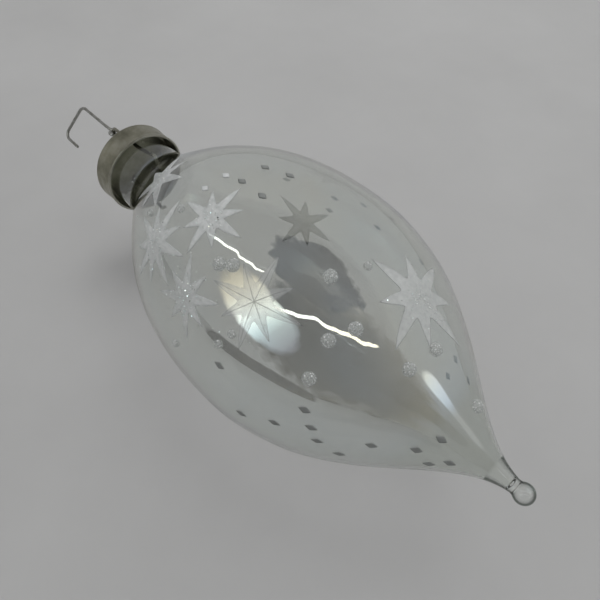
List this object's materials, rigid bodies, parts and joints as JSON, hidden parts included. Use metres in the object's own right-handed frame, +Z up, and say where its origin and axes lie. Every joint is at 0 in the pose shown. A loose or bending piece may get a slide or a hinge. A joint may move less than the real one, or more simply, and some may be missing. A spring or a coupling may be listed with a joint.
{
  "type": "hanging glass ornament",
  "caption": "Blown clear glass drop ornament with a drawn tip and ball, frosted stars, glued crystals, and a metal cap with a spring hanger and wire hook.",
  "frame": {"origin": "on the table plane under the middle of the whole length, where the belly rests", "axes": "+X along the ornament's axis from the hook to the tip ball, +Z up from the table it lies on, +Y to the side"},
  "size_m": [0.1534, 0.0571, 0.057],
  "materials": {
    "clear_glass": "clear blown glass with a faint pearl lustre",
    "solid_glass": "clear solid glass",
    "frost_enamel": "raised frosted white enamel with fine glitter",
    "crystal": "faceted clear crystal",
    "cap_metal": "satin drawn nickel-toned sheet, slightly tarnished",
    "spring_wire": "bright drawn spring wire",
    "hook_wire": "drawn steel wire"
  },
  "bodies": {
    "glass": {"glass_body": "clear_glass", "tip_ball": "solid_glass", "frost_star_1": "frost_enamel", "frost_star_2": "frost_enamel", "frost_star_3": "frost_enamel", "frost_star_4": "frost_enamel", "frost_star_5": "frost_enamel", "frost_star_6": "frost_enamel", "frost_star_7": "frost_enamel", "crystal_1": "crystal", "crystal_2": "crystal", "crystal_3": "crystal", "crystal_4": "crystal", "crystal_5": "crystal", "crystal_6": "crystal", "crystal_7": "crystal", "crystal_8": "crystal", "crystal_9": "crystal", "small_crystals": "crystal", "shoulder_lozenges": "frost_enamel", "side_lozenges": "frost_enamel", "lower_lozenges": "frost_enamel"},
    "cap": {"cap": "cap_metal"},
    "hanger": {"hanger": "spring_wire"},
    "hook": {"hook": "hook_wire"}
  },
  "joints": [
    {"name": "cap_pull", "type": "slide", "parent": "glass", "child": "cap", "axis": [-1, 0, 0], "range_m": [0, 0.02]},
    {"name": "hanger_lift", "type": "slide", "parent": "cap", "child": "hanger", "axis": [-1, 0, 0], "range_m": [0, 0.002]},
    {"name": "hook_swing", "type": "hinge", "parent": "hanger", "child": "hook", "pos_m": [-0.05657, 0.0005, 0.03327], "axis": [0, 0.1045, 0.9945], "range_deg": [-75, 75]}
  ]
}
